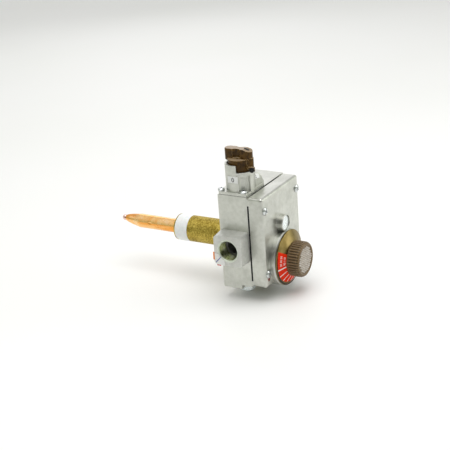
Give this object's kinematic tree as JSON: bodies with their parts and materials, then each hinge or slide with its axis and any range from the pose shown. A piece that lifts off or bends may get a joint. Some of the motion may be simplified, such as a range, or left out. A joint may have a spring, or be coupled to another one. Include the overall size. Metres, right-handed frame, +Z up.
{
  "type": "gas control valve",
  "caption": "Combination gas control of a storage water heater: cast body with gas cock knob, temperature dial, threaded inlet and rod-and-tube probe.",
  "frame": {"origin": "middle of the tank thread on the shank's axis", "axes": "+Y along the probe into the tank, +X right when facing the front, +Z up in use"},
  "size_m": [0.0899, 0.2137, 0.1501],
  "materials": {
    "cast_aluminium": "satin as-cast die-cast aluminium",
    "zinc_steel": "bright zinc plate",
    "inner_steel": "plain turned steel",
    "gasket": "matt black fibre gasket",
    "brown_plastic": "satin brown moulded plastic",
    "knob_brown": "satin brown ribbed plastic",
    "black_plastic": "black moulded plastic",
    "black_rubber": "black rubber",
    "dial_gold": "champagne gold satin",
    "dial_red": "printed red band",
    "label_white": "white paper label",
    "brass": "mottled olive brass",
    "copper": "bright copper",
    "tip_braze": "pinkish copper braze",
    "seal_white": "white thread sealant",
    "coil_copper": "enamelled copper winding",
    "felt": "filter felt"
  },
  "bodies": {
    "root": {"body_casting": "cast_aluminium", "inlet_boss": "cast_aluminium", "outlet_boss": "cast_aluminium", "cover_gasket": "gasket", "front_cover": "cast_aluminium", "cover_screws": "zinc_steel", "bonnet": "cast_aluminium", "bonnet_gasket": "gasket", "bonnet_screws": "zinc_steel", "inlet_label": "label_white", "stem_o_ring": "black_rubber", "magnet_housing": "inner_steel", "magnet_core": "inner_steel", "magnet_coil": "coil_copper", "magnet_nut": "zinc_steel", "pilot_fitting": "brass", "pilot_filter": "felt", "pilot_adjust_screw": "brass", "pressure_tap_plug": "brass", "regulator_plug": "zinc_steel", "regulator_screw": "black_plastic", "regulator_spring": "inner_steel", "diaphragm": "black_rubber", "regulator_seat": "brass", "dial_stop_pin": "zinc_steel", "clicker_frame": "inner_steel", "snap_disc": "inner_steel", "main_valve_seat": "brass", "shank": "brass", "thread_seal": "seal_white", "copper_tube": "copper", "tube_tip": "tip_braze", "eco_fuse": "inner_steel"},
    "gas_cock": {"gas_cock_plug": "brass", "plug_spring": "inner_steel"},
    "gas_knob": {"gas_cock_knob": "brown_plastic", "knob_index_inlay": "black_plastic", "pointer_ring": "black_rubber", "pointer_pin": "inner_steel", "knob_spring": "inner_steel", "reset_rod": "inner_steel"},
    "safety_valve": {"safety_disc": "black_rubber", "safety_stem": "inner_steel", "armature": "inner_steel", "safety_spring": "inner_steel"},
    "regulator": {"regulator_valve": "inner_steel"},
    "temperature_dial": {"dial_skirt": "dial_gold", "dial_label": "dial_red", "temperature_knob": "knob_brown", "knob_insert": "brass", "temperature_stem": "brass"},
    "plunger": {"adjusting_plunger": "brass", "fulcrum_pin": "inner_steel"},
    "thermostat_lever": {"lever": "inner_steel"},
    "thermostat_rod": {"invar_rod": "inner_steel"},
    "main_valve_body": {"main_valve": "brass", "main_valve_spring": "inner_steel"}
  },
  "joints": [
    {"name": "gas_cock_turn", "type": "hinge", "parent": "root", "child": "gas_cock", "pos_m": [-0.0221, -0.07945, 0.04], "axis": [0, 0, 1], "range_deg": [-54, 94]},
    {"name": "gas_knob_push", "type": "slide", "parent": "gas_cock", "child": "gas_knob", "axis": [0, 0, -1], "range_m": [0, 0.002], "stiffness_N_per_m": 1500, "springref_m": -0.002},
    {"name": "safety_valve_lift", "type": "slide", "parent": "root", "child": "safety_valve", "axis": [0, 0, -1], "range_m": [0, 0.002]},
    {"name": "regulator_stroke", "type": "slide", "parent": "root", "child": "regulator", "axis": [0, -1, 0], "range_m": [-0.0008, 0.0008], "stiffness_N_per_m": 400},
    {"name": "temp_dial_turn", "type": "hinge", "parent": "root", "child": "temperature_dial", "pos_m": [-0.0015, -0.12135, -0.0145], "axis": [0, -1, 0], "range_deg": [0, 270]},
    {"name": "temp_screw_feed", "type": "slide", "parent": "root", "child": "plunger", "axis": [0, -1, 0], "range_m": [0, 0.00075]},
    {"name": "thermostat_rod_push", "type": "slide", "parent": "root", "child": "thermostat_rod", "axis": [0, -1, 0], "range_m": [0, 0.0005], "stiffness_N_per_m": 8000},
    {"name": "lever_tilt", "type": "hinge", "parent": "plunger", "child": "thermostat_lever", "pos_m": [-0.0015, -0.08635, -0.0145], "axis": [1, 0, 0], "range_deg": [0, 2.1]},
    {"name": "main_valve_lift", "type": "slide", "parent": "root", "child": "main_valve_body", "axis": [0, -1, 0], "range_m": [0, 0.0009]}
  ],
  "couplings": [
    {"joint": "safety_valve_lift", "follows": "gas_knob_push", "ratio": 1},
    {"joint": "temp_screw_feed", "follows": "temp_dial_turn", "m_per_rad": 0.00015915},
    {"joint": "lever_tilt", "follows": "thermostat_rod_push", "rad_per_m": 68.966},
    {"joint": "main_valve_lift", "follows": "thermostat_rod_push", "ratio": 1.5931}
  ]
}
